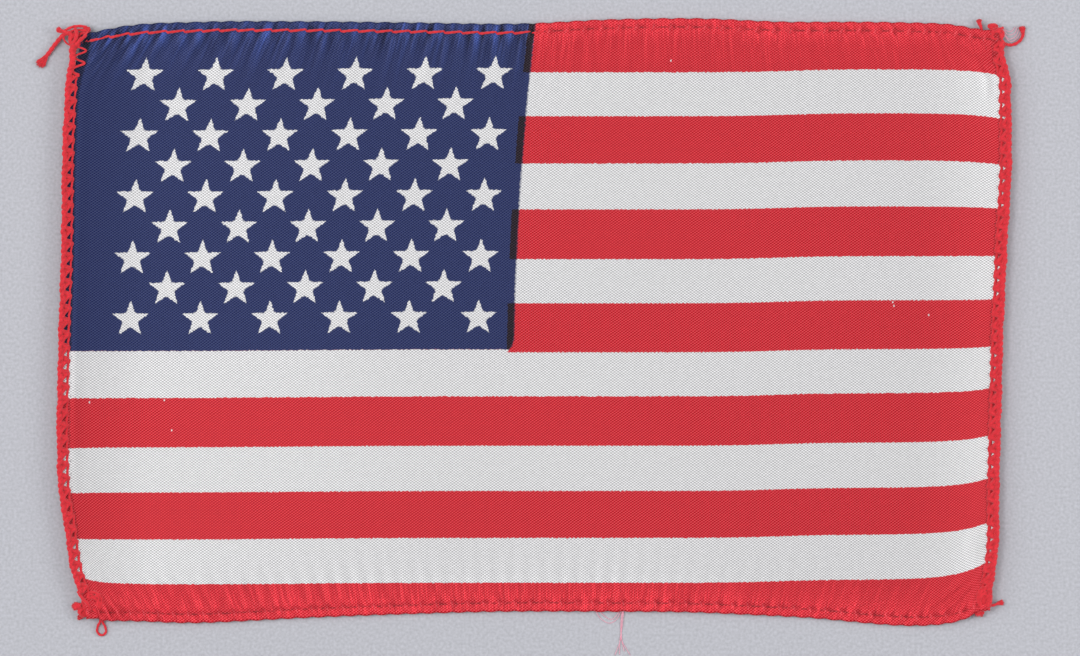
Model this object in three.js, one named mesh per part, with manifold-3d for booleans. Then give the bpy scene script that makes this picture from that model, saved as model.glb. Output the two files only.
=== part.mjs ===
// A small printed cloth flag, lying flat with its printed face up. The top and bottom are narrow
// turned hems, puckered by their stitching. The left and right raw edges are sewn over with
// overlock thread, whose chain ends in a knot with cut tails at each corner.
// Millimetres, +Z up. +X runs along the stripes, away from the canton, and +Y towards the top hem.
// The origin is under the middle of the cloth, on the surface that it lies on.

import * as THREE from 'three';
import { mergeVertices } from 'three/addons/utils/BufferGeometryUtils.js';
import Module from 'manifold-3d';

const wasm = await Module();
wasm.setup();

// Driving dimensions
const HALF_WIDTH = 76.2;
const CLOTH_THICKNESS = 1.0;
const HEM_THICKNESS = 1.5;
const HEM_WIDTH = 1.9;
const HEM_STITCH_PITCH = 2.8;
const EDGING_WIDTH = 2.0;
const EDGING_STITCH_PITCH = 2.1;
const CLEARANCE = 0.3;
const SIDE_LIFT = 1.1;
const SIDE_LIFT_REACH = 14;
const THREAD_RADIUS = 0.3;

// Where each hem was turned, as a height on the flat cloth at distances from its middle
const TOP_FOLD = [
  [-77, 46.6], [-73, 47.4], [-69, 48.2], [-57, 48.9], [-41, 48.9], [-24, 48.6], [-4, 48.4],
  [8, 49.0], [24, 49.2], [40, 48.4], [57, 48.1], [70, 47.8], [77, 48.2],
];
const BOTTOM_FOLD = [
  [-77, -50.0], [-68, -48.5], [-54, -48.4], [-37, -47.7], [-21, -47.2], [-5, -46.8], [11, -46.8],
  [28, -47.0], [44, -48.1], [60, -49.7], [69, -50.4], [77, -52.2],
];

// The cloth leans to the right above its middle, ever more towards the top hem.
const LEAN_FOOT = -3.6;
const LEAN_SLOPE = 0.03;
const LEAN_CURVE = 0.00078;

// How the overlock stitching draws each side edge across and up, at heights on the flat cloth
const LEFT_SHIFT = [
  [-51, 4.2], [-47, 3.8], [-45, 2.9], [-41, 1.6], [-36, 1.2], [-32, 0.7], [-28, 0], [-20, -0.4],
  [-4, -0.2], [12, -0.4], [30, -1.3], [40, -1.7], [51, -2.0],
];
const RIGHT_SHIFT = [
  [-51, -1.5], [-46, -1.2], [-41, -0.5], [-28, -0.2], [-12, 0.2], [12, 0.4], [27, 0.2],
  [36, -0.7], [40, -1.2], [43, -2.3], [51, -3.1],
];
const LEFT_RISE = [[-51, 2.2], [-45, 1.4], [-41, 0.8], [-36, 0.2], [-30, 0], [0, 0], [51, 0]];
const RIGHT_RISE = [
  [-51, 3.9], [-46, 3.2], [-42, 2.7], [-35, 2.0], [-27, 1.5], [-12, 0.8], [3, 0.1], [10, 0],
  [25, -0.7], [42, -1.0], [51, -1.0],
];
const SHIFT_REACH = 10;
const RISE_REACH = 4.5;

// The stripes step up a little towards the right, and the canton down a little towards the left.
const RIGHT_STEP = { rise: 0.5, at: 40, spread: 8 };
const LEFT_STEP = { rise: -0.28, at: -38, spread: -16 };

// A smooth curve through hand-chosen points: a cubic between each two, whose slope at a point is
// the mean of its neighbours' slopes, weighted towards the nearer one
function through(points, place) {
  const last = points.length - 1;
  const at = Math.min(Math.max(place, points[0][0]), points[last][0]);
  const chord = (i) => (points[i + 1][1] - points[i][1]) / (points[i + 1][0] - points[i][0]);
  const slope = (i) => {
    if (i === 0 || i === last) return chord(Math.min(i, last - 1));
    const before = points[i][0] - points[i - 1][0];
    const after = points[i + 1][0] - points[i][0];
    return (before * chord(i) + after * chord(i - 1)) / (before + after);
  };
  let i = 0;
  while (i < last - 1 && at > points[i + 1][0]) i += 1;
  const span = points[i + 1][0] - points[i][0];
  const f = (at - points[i][0]) / span;
  const rise = points[i + 1][1] - points[i][1];
  return points[i][1] + rise * f * f * (3 - 2 * f)
    + span * f * (1 - f) * (slope(i) * (1 - f) - slope(i + 1) * f);
}

const fade = (distance, reach) => Math.exp(-Math.max(distance, 0) / reach);

const step = (across, { rise, at, spread }) => rise * (0.5 + 0.5 * Math.tanh((across - at) / spread));

// Where a point of the flat cloth lies, seen from above. The edging's own width isn't squeezed.
function lie(across, up) {
  const aboveFoot = Math.max(up - LEAN_FOOT, 0);
  const fromLeft = HALF_WIDTH + across - EDGING_WIDTH;
  const fromRight = HALF_WIDTH - across - EDGING_WIDTH;
  const x = across + aboveFoot * (LEAN_SLOPE + LEAN_CURVE * aboveFoot)
    + through(LEFT_SHIFT, up) * fade(fromLeft, SHIFT_REACH)
    + through(RIGHT_SHIFT, up) * fade(fromRight, SHIFT_REACH);
  const y = up + step(across, RIGHT_STEP) + step(across, LEFT_STEP)
    + through(LEFT_RISE, up) * fade(fromLeft, RISE_REACH)
    + through(RIGHT_RISE, up) * fade(fromRight, RISE_REACH);
  return [x, y];
}

// The cloth rests flat, but for its left and right edges, which curl up off the surface.
function lift(across) {
  const inside = (HALF_WIDTH - Math.abs(across)) / SIDE_LIFT_REACH;
  return SIDE_LIFT * Math.max(0, 1 - inside) ** 2;
}

// Triangles that fill a section, as a strip between its two chains, which both run from its first
// point to its far side
function fillSection(section, along) {
  const faces = [];
  let near = 0;
  let far = section.length - 1;
  while (far - near > 1) {
    const nearIsBehind = along(section[near + 1]) < along(section[far - 1]);
    faces.push([near, nearIsBehind ? near + 1 : far - 1, far]);
    if (nearIsBehind) near += 1;
    else far -= 1;
  }
  return faces;
}

// A closed body through sections of equal point counts, with each end section filled
function bodyThrough(sections, along) {
  const count = sections[0].length;
  const positions = sections.flat().flatMap((point) => [point.x, point.y, point.z]);
  const faces = [];
  for (let i = 0; i + 1 < sections.length; i += 1) {
    for (let j = 0; j < count; j += 1) {
      const a = i * count + j;
      const b = i * count + ((j + 1) % count);
      faces.push(a, a + count, b, b, a + count, b + count);
    }
  }
  const lastStart = (sections.length - 1) * count;
  for (const [a, b, c] of fillSection(sections[0], along)) faces.push(a, b, c);
  for (const [a, b, c] of fillSection(sections.at(-1), along)) {
    faces.push(lastStart + a, lastStart + c, lastStart + b);
  }
  const geometry = new THREE.BufferGeometry();
  geometry.setAttribute('position', new THREE.Float32BufferAttribute(positions, 3));
  geometry.setIndex(faces);
  return geometry;
}

const whole = new THREE.Group();

function addPiece(name, geometry, material) {
  const mesh = new THREE.Mesh(geometry, material);
  mesh.name = name;
  whole.add(mesh);
}

const clothMaterial = new THREE.MeshStandardMaterial({ color: 0xc9373f, roughness: 0.6, metalness: 0 });
const threadMaterial = new THREE.MeshStandardMaterial({ color: 0xe8323e, roughness: 0.7, metalness: 0 });

// Cloth: one sheet with its two hems. Each hem's stitching presses a groove along it, scallops its
// fold and gathers the cloth beside it into small ridges, one a stitch, which die out inwards.
const CLOTH_HALF_WIDTH = HALF_WIDTH - EDGING_WIDTH - CLEARANCE;
const HEM_STITCHES = Math.round((2 * CLOTH_HALF_WIDTH) / HEM_STITCH_PITCH);
const COLUMNS_PER_STITCH = 2;
const HEM_ROWS = [0.3, 1.0, 1.5, 2.2, 4.0, 7.5];
const UNDER_ROWS = [0.4, 2.2, 4.5, 7.5];
const MIDDLE_ROWS = [0.15, 0.28, 0.45, 0.62, 0.8];
const GROOVE_ROW = 1.5;
const GROOVE_DEPTH = 0.2;
const PUCKER_HEIGHT = 0.3;
const PUCKER_REACH = 6;
const PUCKER_SLANT = 0.5;
const SCALLOP = 0.15;
const FOLD_ROUNDING = 0.25;
const FOLD_ROUNDING_REACH = 0.3;

function stitchWave(across, inward) {
  const slant = (-PUCKER_SLANT * across) / HALF_WIDTH;
  const stitches = (across + slant * inward + CLOTH_HALF_WIDTH) / HEM_STITCH_PITCH;
  return 0.5 - 0.5 * Math.cos(2 * Math.PI * stitches);
}

function clothTop(across, inward) {
  const hemBlend = THREE.MathUtils.smoothstep(inward, HEM_WIDTH, 2 * HEM_WIDTH);
  const thickness = THREE.MathUtils.lerp(HEM_THICKNESS, CLOTH_THICKNESS, hemBlend);
  const groove = inward === GROOVE_ROW ? GROOVE_DEPTH : 0;
  const roundOff = FOLD_ROUNDING * fade(inward, FOLD_ROUNDING_REACH);
  const pucker = PUCKER_HEIGHT * stitchWave(across, inward) * fade(inward, PUCKER_REACH);
  return thickness - groove - roundOff + pucker;
}

function clothSection(across) {
  const scallop = SCALLOP * (1 - stitchWave(across, 0));
  const bottom = through(BOTTOM_FOLD, across) + scallop;
  const top = through(TOP_FOLD, across) - scallop;
  const base = lift(across);
  const point = (up, height) => new THREE.Vector3(...lie(across, up), base + height);
  const nearBottom = HEM_ROWS.map((row) => point(bottom + row, clothTop(across, row)));
  const nearTop = HEM_ROWS.map((row) => point(top - row, clothTop(across, row))).reverse();
  const middleUps = MIDDLE_ROWS.map((share) => THREE.MathUtils.lerp(bottom, top, share));
  const underNearBottom = UNDER_ROWS.map((row) => bottom + row);
  const underNearTop = UNDER_ROWS.map((row) => top - row).reverse();
  const underUps = [...underNearBottom, ...middleUps, ...underNearTop];
  return [
    point(bottom, HEM_THICKNESS / 2),
    ...nearBottom,
    ...middleUps.map((up) => point(up, CLOTH_THICKNESS)),
    ...nearTop,
    point(top, HEM_THICKNESS / 2),
    ...underUps.map((up) => point(up, 0)).reverse(),
  ];
}

const columns = HEM_STITCHES * COLUMNS_PER_STITCH;
const clothSections = Array.from({ length: columns + 1 }, (unused, i) => (
  clothSection(THREE.MathUtils.lerp(-CLOTH_HALF_WIDTH, CLOTH_HALF_WIDTH, i / columns))
));
const clothGeometry = bodyThrough(clothSections, (point) => point.y);
addPiece('flag_cloth', clothGeometry, clothMaterial);

// Edging: the overlock stitches over a raw side edge. A thick braided chain runs along the outside
// and a lower line of needle thread along the inside, and both draw tight once a stitch. Each
// point of the profile has its distance in from the outer edge and its height, where the stitch
// is full, and how far it moves in and down where the stitch is tight.
const EDGING_PROFILE = [
  [0.0, 0.65, 0.2, 0], [0.25, 0.15, 0.1, 0], [0.75, 0, 0, 0], [1.9, 0, 0, 0], [2.0, 0.4, 0, 0],
  [1.75, 0.95, 0, 0.2], [1.45, 0.8, 0, 0], [1.15, 1.1, 0, 0.15], [0.65, 1.4, 0.1, 0.3],
  [0.2, 1.1, 0.2, 0.3],
];
const LEFT_EDGING_SPAN = [-45.6, 44.5];
const RIGHT_EDGING_SPAN = [-47.3, 45.2];

function edgingSection(side, up, tight) {
  return EDGING_PROFILE.map(([inward, height, narrowing, lowering]) => {
    const across = side * (HALF_WIDTH - inward - tight * narrowing);
    return new THREE.Vector3(...lie(across, up), lift(across) + height - tight * lowering);
  });
}

function edging(side, [low, high]) {
  const steps = 2 * Math.round((high - low) / EDGING_STITCH_PITCH);
  const sections = Array.from({ length: steps + 1 }, (unused, i) => (
    edgingSection(side, THREE.MathUtils.lerp(low, high, i / steps), i % 2)
  ));
  if (side > 0) sections.reverse();
  return bodyThrough(sections, (point) => -side * point.x);
}

addPiece('edging_left', edging(-1, LEFT_EDGING_SPAN), threadMaterial);
addPiece('edging_right', edging(1, RIGHT_EDGING_SPAN), threadMaterial);

// Corner knots: the end of the thread chain, drawn into a lump, with its tails fused to it. A tail
// runs down to the surface and along it, and its cut end is fluffed out into a few short strands.
function solidOf(geometry) {
  geometry.deleteAttribute('normal');
  geometry.deleteAttribute('uv');
  const merged = mergeVertices(geometry, 1e-4);
  const vertProperties = Float32Array.from(merged.attributes.position.array);
  const triVerts = Uint32Array.from(merged.index.array);
  return new wasm.Manifold(new wasm.Mesh({ numProp: 3, vertProperties, triVerts }));
}

function geometryOf(solid) {
  const { vertProperties, triVerts } = solid.getMesh();
  const geometry = new THREE.BufferGeometry();
  geometry.setAttribute('position', new THREE.BufferAttribute(vertProperties, 3));
  geometry.setIndex(new THREE.BufferAttribute(triVerts, 1));
  return geometry;
}

const TURNS_ON_LUMP = 3;
const TURN_HEIGHT = 0.08;

function lump([x, y, z], [halfX, halfY, halfZ]) {
  const geometry = new THREE.SphereGeometry(1, 12, 8);
  const position = geometry.attributes.position;
  const point = new THREE.Vector3();
  for (let i = 0; i < position.count; i += 1) {
    point.fromBufferAttribute(position, i);
    const turn = TURN_HEIGHT * Math.cos(TURNS_ON_LUMP * Math.PI * (point.y + point.x));
    point.multiplyScalar(1 + turn).multiply(new THREE.Vector3(halfX, halfY, halfZ));
    position.setXYZ(i, point.x + x, point.y + y, point.z + z);
  }
  return solidOf(geometry);
}

function strand(points, radius, sides = 6) {
  const path = new THREE.CatmullRomCurve3(points.map((point) => new THREE.Vector3(...point)));
  const ring = Array.from({ length: sides }, (unused, i) => {
    const angle = (2 * Math.PI * i) / sides;
    return new THREE.Vector2(radius * Math.cos(angle), radius * Math.sin(angle));
  });
  const options = { steps: 3 * (points.length - 1), extrudePath: path, bevelEnabled: false };
  return solidOf(new THREE.ExtrudeGeometry(new THREE.Shape(ring), options));
}

const TUFT_ANGLES = [-0.5, 0, 0.5];
const TUFT_RADIUS = 0.2;

// Short strands that fan out from a cut end, lying on the surface
function tuft([x, y, z], heading, length) {
  return TUFT_ANGLES.map((turn) => {
    const angle = heading + turn;
    const end = [x + length * Math.cos(angle), y + length * Math.sin(angle), z];
    return strand([[x, y, z], end], TUFT_RADIUS, 4);
  });
}

function knot(name, pieces) {
  const solid = pieces.flat().reduce((sum, piece) => sum.add(piece));
  addPiece(name, geometryOf(solid), threadMaterial);
}

knot('thread_knot_top_left', [
  lump([-73.9, 46.2, 1.5], [0.85, 1.0, 0.75]),
  strand([[-73.9, 46.4, 1.4], [-75.2, 47.0, 1.1], [-76.4, 45.7, 0.6], [-77.4, 44.3, 0.35],
    [-78.5, 42.9, 0.35], [-79.1, 41.9, 0.35]], 0.34),
  tuft([-78.9, 42.2, 0.3], THREE.MathUtils.degToRad(232), 1.4),
  strand([[-74.9, 46.9, 1.2], [-74.2, 47.8, 1.2], [-73.0, 48.1, 1.1], [-71.4, 47.8, 0.9]], 0.26),
  strand([[-74.6, 46.7, 1.2], [-75.6, 47.2, 1.3], [-76.6, 47.6, 1.2]], 0.3),
]);

knot('thread_knot_top_right', [
  lump([75.9, 46.6, 1.5], [1.0, 1.2, 0.75]),
  lump([75.3, 47.9, 1.3], [0.6, 0.45, 0.5]),
  strand([[75.3, 48.0, 1.3], [74.2, 48.4, 1.0], [73.2, 48.5, 0.9], [72.8, 49.2, 0.9]], 0.24),
  strand([[76.4, 45.6, 1.3], [77.9, 45.0, 0.7], [79.1, 45.1, 0.4], [79.8, 46.1, 0.4],
    [79.6, 47.2, 0.4]], THREAD_RADIUS),
  tuft([79.6, 47.0, 0.35], THREE.MathUtils.degToRad(98), 1.1),
]);

knot('thread_knot_bottom_left', [
  lump([-72.1, -46.3, 1.4], [1.2, 1.5, 0.8]),
  lump([-73.4, -45.9, 1.3], [0.8, 0.7, 0.6]),
  strand([[-71.9, -47.2, 1.2], [-71.2, -48.7, 0.8], [-70.3, -49.4, 0.4], [-70.3, -50.5, 0.3],
    [-69.3, -51.0, 0.3], [-68.6, -50.5, 0.3], [-68.9, -49.4, 0.3], [-70.0, -49.0, 0.6],
    [-71.4, -48.2, 1.0]], 0.24),
]);

knot('thread_knot_bottom_right', [
  lump([73.9, -45.7, 1.4], [0.9, 1.1, 0.75]),
  lump([73.4, -47.0, 1.1], [0.5, 0.5, 0.5]),
  strand([[74.2, -45.6, 1.3], [75.2, -45.4, 0.9], [76.5, -45.1, 0.6]], 0.34),
]);

export default whole;
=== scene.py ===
import bmesh
import bpy
import numpy as np
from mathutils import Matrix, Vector


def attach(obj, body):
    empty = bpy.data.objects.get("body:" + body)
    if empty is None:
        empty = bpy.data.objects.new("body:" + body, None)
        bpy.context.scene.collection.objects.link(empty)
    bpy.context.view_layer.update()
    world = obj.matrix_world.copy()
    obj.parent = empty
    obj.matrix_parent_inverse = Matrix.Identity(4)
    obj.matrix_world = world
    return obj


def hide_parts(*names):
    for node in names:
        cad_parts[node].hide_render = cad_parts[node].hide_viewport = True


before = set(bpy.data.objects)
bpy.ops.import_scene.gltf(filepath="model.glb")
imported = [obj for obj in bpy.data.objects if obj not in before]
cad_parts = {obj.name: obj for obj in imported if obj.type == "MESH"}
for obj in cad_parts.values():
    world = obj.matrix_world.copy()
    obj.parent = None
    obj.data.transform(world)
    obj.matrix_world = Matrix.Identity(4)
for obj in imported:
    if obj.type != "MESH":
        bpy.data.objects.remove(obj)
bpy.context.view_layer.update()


# View. The photograph was taken from straight above with a long lens. The camera looks down from
# a metre up, and its picture is 1080 by 656 pixels of 0.162 mm.
PIXEL = 0.000162
VIEW_WIDTH = 1080 * PIXEL
VIEW_CENTRE = (0.00162, -0.00089)
VIEW_HEIGHT = 1.0
SENSOR_WIDTH = 36.0

lens = bpy.data.cameras.new("view_from_above")
lens.sensor_fit = "HORIZONTAL"
lens.sensor_width = SENSOR_WIDTH
lens.lens = SENSOR_WIDTH * VIEW_HEIGHT / VIEW_WIDTH
camera = bpy.data.objects.new("view_from_above", lens)
camera.location = (*VIEW_CENTRE, VIEW_HEIGHT)
bpy.context.scene.collection.objects.link(camera)
bpy.context.scene.camera = camera
bpy.context.scene.view_settings.view_transform = "Standard"


# Light. Two wide soft boxes stand low at the sides, a weak one beyond the top edge, and one hangs
# high on the left, where the puckers' slopes mirror it. A pale room fills the shadows. Each box
# has a place in metres, a power in watts and a width.
ROOM_LIGHT = 0.5
ROOM_COLOR = (0.97, 0.98, 1.0, 1)
SOFT_BOXES = {
    "soft_box_left": ((-0.55, 0.06, 0.36), 1.2, 0.30),
    "soft_box_right": ((0.55, 0.03, 0.36), 1.9, 0.30),
    "soft_box_top": ((0.05, 0.50, 0.55), 0.5, 0.30),
    "soft_box_high": ((-0.70, 0.12, 1.30), 8.0, 0.56),
}


def soft_box(name, place, power, width):
    """A square area light at a place, turned to face the middle of the cloth."""
    light = bpy.data.lights.new(name, "AREA")
    light.energy = power
    light.size = width
    box = bpy.data.objects.new(name, light)
    box.location = place
    box.rotation_euler = (-Vector(place)).to_track_quat("-Z", "Y").to_euler()
    bpy.context.scene.collection.objects.link(box)


for box_name, box_values in SOFT_BOXES.items():
    soft_box(box_name, *box_values)

room = bpy.data.worlds.new("pale_room")
room.use_nodes = True
room.node_tree.nodes["Background"].inputs["Color"].default_value = ROOM_COLOR
room.node_tree.nodes["Background"].inputs["Strength"].default_value = ROOM_LIGHT
bpy.context.scene.world = room


# Paper. The flag lies on a large sheet of pale grey paper, which isn't part of it. The paper is
# matt, level and wider than the view, with a faint mottle of its fibres.
PAPER_WIDTH = 1.6
PAPER_COLOR = (0.548, 0.552, 0.600, 1)
PAPER_MOTTLE_COLOR = (0.304, 0.306, 0.329, 1)
PAPER_MOTTLE_SCALE = 2200
PAPER_ROUGHNESS = 0.85


class Wire:
    """One output of a shader node. Sums, products and the like of wires add the Math node for it."""

    def __init__(self, tree, socket=None):
        self.tree = tree
        self.socket = socket

    def add(self, kind, settings=None, inputs=None, output=0):
        """A new node of this kind, with its settings made before its sockets are filled or linked."""
        node = self.tree.nodes.new(kind)
        for name, value in (settings or {}).items():
            setattr(node, name, value)
        for key, value in (inputs or {}).items():
            if isinstance(value, Wire):
                self.tree.links.new(value.socket, node.inputs[key])
            else:
                node.inputs[key].default_value = value
        return Wire(self.tree, node.outputs[output] if len(node.outputs) else None)

    def math(self, operation, *others):
        """A Math node on this wire and what else the operation needs, in that order."""
        return self.add("ShaderNodeMath", {"operation": operation}, dict(enumerate((self, *others))))

    def mix(self, factor, first, second):
        """The first colour where the factor is 0, and the second where it is 1."""
        return self.add("ShaderNodeMix", {"data_type": "RGBA"}, {0: factor, 6: first, 7: second}, 2)

    def past(self, line, softness):
        """0 below the line, 1 above it, and a soft step between."""
        span = {"From Min": line - softness, "From Max": line + softness}
        return self.add("ShaderNodeMapRange", {}, {"Value": self, **span})

    def parts(self):
        """The first two numbers of a vector, as two wires of one node."""
        first = self.add("ShaderNodeSeparateXYZ", {}, {0: self})
        return first, Wire(self.tree, first.socket.node.outputs[1])

    def __add__(self, other):
        return self.math("ADD", other)

    def __sub__(self, other):
        return self.math("SUBTRACT", other)

    def __rsub__(self, other):
        return self.add("ShaderNodeMath", {"operation": "SUBTRACT"}, {0: other, 1: self})

    def __mul__(self, other):
        return self.math("MULTIPLY", other)

    def __truediv__(self, other):
        return self.math("DIVIDE", other)

    __radd__ = __add__
    __rmul__ = __mul__


def new_material(name):
    """An empty node material, and a wire to hang its nodes on."""
    material = bpy.data.materials.new(name)
    material.use_nodes = True
    material.node_tree.nodes.clear()
    return material, Wire(material.node_tree)


def finish_material(bench, sockets):
    """The material's shader with these sockets, linked to its output."""
    shader = bench.add("ShaderNodeBsdfPrincipled", {}, sockets)
    bench.add("ShaderNodeOutputMaterial", {}, {"Surface": shader})


def paper_material():
    """Grey paper, with a mottle too faint to see as a pattern."""
    material, bench = new_material("grey_paper")
    place = bench.add("ShaderNodeTexCoord", output=3)
    inputs = {"Vector": place, "Scale": PAPER_MOTTLE_SCALE, "Detail": 4.0}
    mottle = bench.add("ShaderNodeTexNoise", {}, inputs)
    color = bench.mix(mottle, PAPER_COLOR, PAPER_MOTTLE_COLOR)
    finish_material(bench, {"Base Color": color, "Roughness": PAPER_ROUGHNESS})
    return material


def grid(points, uv, closed=False):
    """A sheet of quads over a grid of points, rows by columns, with uv at each corner. Where it is
    closed, the last column of points is the same line as the first, and only its uv differs."""
    rows, columns = points.shape[:2]
    row, column = np.meshgrid(np.arange(rows - 1), np.arange(columns - 1), indexing="ij")
    corners = [(row, column), (row, column + 1), (row + 1, column + 1), (row + 1, column)]
    width = columns - 1 if closed else columns
    faces = np.stack([r * width + c % width for r, c in corners], axis=-1).reshape(-1, 4)
    face_uv = np.stack([uv[r, c] for r, c in corners], axis=-2).reshape(-1, 4, 2)
    return points[:, :width].reshape(-1, 3), faces, face_uv


def new_piece(name, grids, materials, uv_name="along_thread"):
    """One mesh object from several grids, with its poles closed and its faces smooth."""
    starts = np.cumsum([0] + [len(points) for points, _, _ in grids[:-1]])
    points = np.concatenate([points for points, _, _ in grids])
    faces = np.concatenate([faces + start for (_, faces, _), start in zip(grids, starts)])
    mesh = bpy.data.meshes.new(name)
    mesh.from_pydata(points.tolist(), [], faces.tolist())
    face_uv = np.concatenate([uv for _, _, uv in grids])
    mesh.uv_layers.new(name=uv_name).data.foreach_set("uv", face_uv.astype(np.float32).ravel())
    shape = bmesh.new()
    shape.from_mesh(mesh)
    bmesh.ops.remove_doubles(shape, verts=shape.verts, dist=1e-7)
    shape.to_mesh(mesh)
    shape.free()
    mesh.polygons.foreach_set("use_smooth", np.ones(len(mesh.polygons), dtype=bool))
    for material in materials:
        mesh.materials.append(material)
    piece = bpy.data.objects.new(name, mesh)
    bpy.context.scene.collection.objects.link(piece)
    return piece


def flat_sheet(width):
    """The four corners of a level square, as a grid."""
    side = np.array([-0.5, 0.5]) * width
    x, y = np.meshgrid(side, side)
    return grid(np.stack([x, y, 0 * x], axis=-1), np.stack([x, y], axis=-1))


paper = new_piece("paper", [flat_sheet(PAPER_WIDTH)], [paper_material()])


# Printed cloth. One piece of plain-weave polyester, cut 4 by 6 inches and printed on its face. Its
# top and bottom edges are turned under twice and stitched, which gathers them into small puckers.
# Sizes are in millimetres on the flat cloth. Hem 1 is the top one, and hem -1 the bottom one.
HALF_WIDTH = 76.2
RAW_EDGE = 75.9
THICKNESS = 0.2
REST_HEIGHT = 0.12
HEM_WIDTH = 1.9
HEM_BACK_HEIGHT = 0.26
HEM_FOLD_RADIUS = 0.2
HEM_STITCH_PITCH = {1: 2.8, -1: 2.52}
HEM_STITCH_START = -73.1
HEM_STITCH_INSET = 1.4

# Where the fold of each hem runs, across and up. Most of these points are readings of the
# photograph, worked back to the flat cloth and rounded.
TOP_FOLD = [
    (-77, 46.6), (-73, 47.4), (-69, 48.2), (-57, 48.9), (-41, 48.9), (-24, 48.6), (-4, 48.4),
    (8, 49.0), (24, 49.2), (40, 48.4), (57, 48.1), (66, 47.9), (71, 47.5), (77, 47.9),
]
BOTTOM_FOLD = [
    (-77, -50.0), (-68, -48.5), (-54, -48.4), (-37, -47.7), (-21, -47.2), (-5, -46.8), (11, -46.8),
    (28, -47.0), (44, -48.1), (60, -49.7), (69, -50.3), (77, -51.2),
]

# How the cloth lies on the paper: its lean to the right above its foot, how far the edgings shift
# each side across and raise it, at these heights, and two steps across it
LEAN_FOOT = -3.6
LEAN_SLOPE = 0.0155
LEAN_CURVE = 0.001
EDGING_WIDTH = 2.0
LEFT_SHIFT = [
    (-51, 4.2), (-47, 3.9), (-45, 3.2), (-41, 2.0), (-36, 1.2), (-32, 0.7), (-28, 0), (-20, -0.4),
    (-4, -0.2), (12, -0.2), (30, -1.1), (40, -1.5), (51, -1.9),
]
RIGHT_SHIFT = [
    (-51, -1.5), (-46, -1.2), (-41, -0.5), (-28, -0.2), (-12, 0.2), (12, 0.6), (27, 0.4),
    (36, -0.5), (40, -1.0), (43, -2.1), (51, -3.0),
]
LEFT_RISE = [(-51, 2.2), (-45, 1.4), (-41, 0.8), (-36, 0.2), (-30, 0), (0, 0), (51, 0)]
RIGHT_RISE = [
    (-51, 3.9), (-46, 3.2), (-42, 2.7), (-35, 2.0), (-27, 1.5), (-12, 0.8), (3, 0.1), (10, 0),
    (25, -0.7), (42, -1.0), (51, -1.0),
]
LEFT_SHIFT_REACH = 5.5
RIGHT_SHIFT_REACH = 10
RISE_REACH = 4.5
STEPS = [(0.5, 40, 8), (-0.28, -38, -16)]
SIDE_LIFT = 1.1
SIDE_LIFT_REACH = 14


def through(points, place):
    """A smooth curve through a few points: a cubic between each two, whose slope at a point
    is the mean of its neighbours' slopes, weighted towards the nearer one."""
    at, value = np.array(points, float).T
    place = np.clip(place, at[0], at[-1])
    slope = np.gradient(value, at)
    k = np.clip(np.searchsorted(at, place) - 1, 0, len(at) - 2)
    span = at[k + 1] - at[k]
    f = (place - at[k]) / span
    rise = value[k + 1] - value[k]
    bend = slope[k] * (1 - f) - slope[k + 1] * f
    return value[k] + rise * f * f * (3 - 2 * f) + span * f * (1 - f) * bend


def fade(distance, reach):
    """1 at no distance, dying out over the reach."""
    return np.exp(-np.maximum(distance, 0) / reach)


def smooth(value, low, high):
    """0 up to the low value, 1 from the high one, and a smooth step between."""
    f = np.clip((value - low) / (high - low), 0, 1)
    return f * f * (3 - 2 * f)


def lay(across, up, height):
    """Where a point of the flat cloth lies, in metres. The cloth leans right above its middle, its
    side edges are drawn across and up by their stitching, and they curl up off the paper."""
    above = np.maximum(up - LEAN_FOOT, 0)
    from_left = HALF_WIDTH + across - EDGING_WIDTH
    from_right = HALF_WIDTH - across - EDGING_WIDTH
    x = across + above * (LEAN_SLOPE + LEAN_CURVE * above)
    x = x + through(LEFT_SHIFT, up) * fade(from_left, LEFT_SHIFT_REACH)
    x = x + through(RIGHT_SHIFT, up) * fade(from_right, RIGHT_SHIFT_REACH)
    y = up + through(LEFT_RISE, up) * fade(from_left, RISE_REACH)
    y = y + through(RIGHT_RISE, up) * fade(from_right, RISE_REACH)
    for rise, at, spread in STEPS:
        y = y + rise * (0.5 + 0.5 * np.tanh((across - at) / spread))
    curl = SIDE_LIFT * np.clip(1 - (HALF_WIDTH - np.abs(across)) / SIDE_LIFT_REACH, 0, None) ** 2
    return np.stack([x, y, height + curl], axis=-1) / 1000


# How the stitching gathers each hem: the height of its ridges, how far they reach in, and how much
# they slant, which turns from one side of the flag to the other
PUCKER_HEIGHT = 0.24
PUCKER_REACH = 3.6
PUCKER_SLANT = 0.5
PUCKER_SHARPNESS = 1.5
PUCKER_SPLIT = 0.55
PUCKER_SIZES = (0.45, 1.25)
PUCKER_COUNT = 60
PUCKER_STRENGTH = [
    (-77, 1.6), (-50, 1.4), (-20, 1.1), (0, 0.8), (12, 1.3), (24, 0.7), (50, 0.6), (77, 1.0),
]
GROOVE_DEPTH = 0.16
GROOVE_WIDTH = 0.35
GROOVE_AT_HOLES = 1.3
HEM_LAYERS_EDGE = (1.6, 6.0)
SCALLOP = 0.18
SCALLOP_ROUNDNESS = 0.6

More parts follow.
